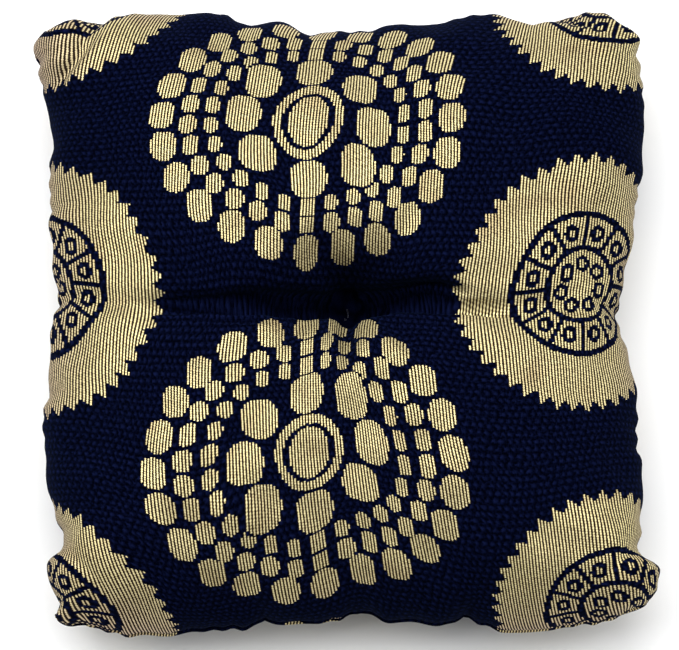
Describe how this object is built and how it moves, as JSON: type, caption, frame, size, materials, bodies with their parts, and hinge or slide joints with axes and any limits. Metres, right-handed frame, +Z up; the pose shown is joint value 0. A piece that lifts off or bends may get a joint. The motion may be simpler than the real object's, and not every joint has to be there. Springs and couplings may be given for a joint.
{
  "type": "singing bowl cushion",
  "caption": "Small square stuffed cushion of navy and gold brocade, seamed all round and drawn in at the middle by one tuft, for a singing bowl to stand on.",
  "frame": {"origin": "on the surface that the cushion lies on, under the middle of its bounding box", "axes": "+X to the right across the pattern, +Y to the back edge, +Z up out of the tufted face"},
  "size_m": [0.1608, 0.1642, 0.0481],
  "materials": {
    "brocade": "jacquard weave, dark navy ground with raised metallic gold motifs"
  },
  "bodies": {
    "root": {"cushion": "brocade"}
  },
  "joints": []
}
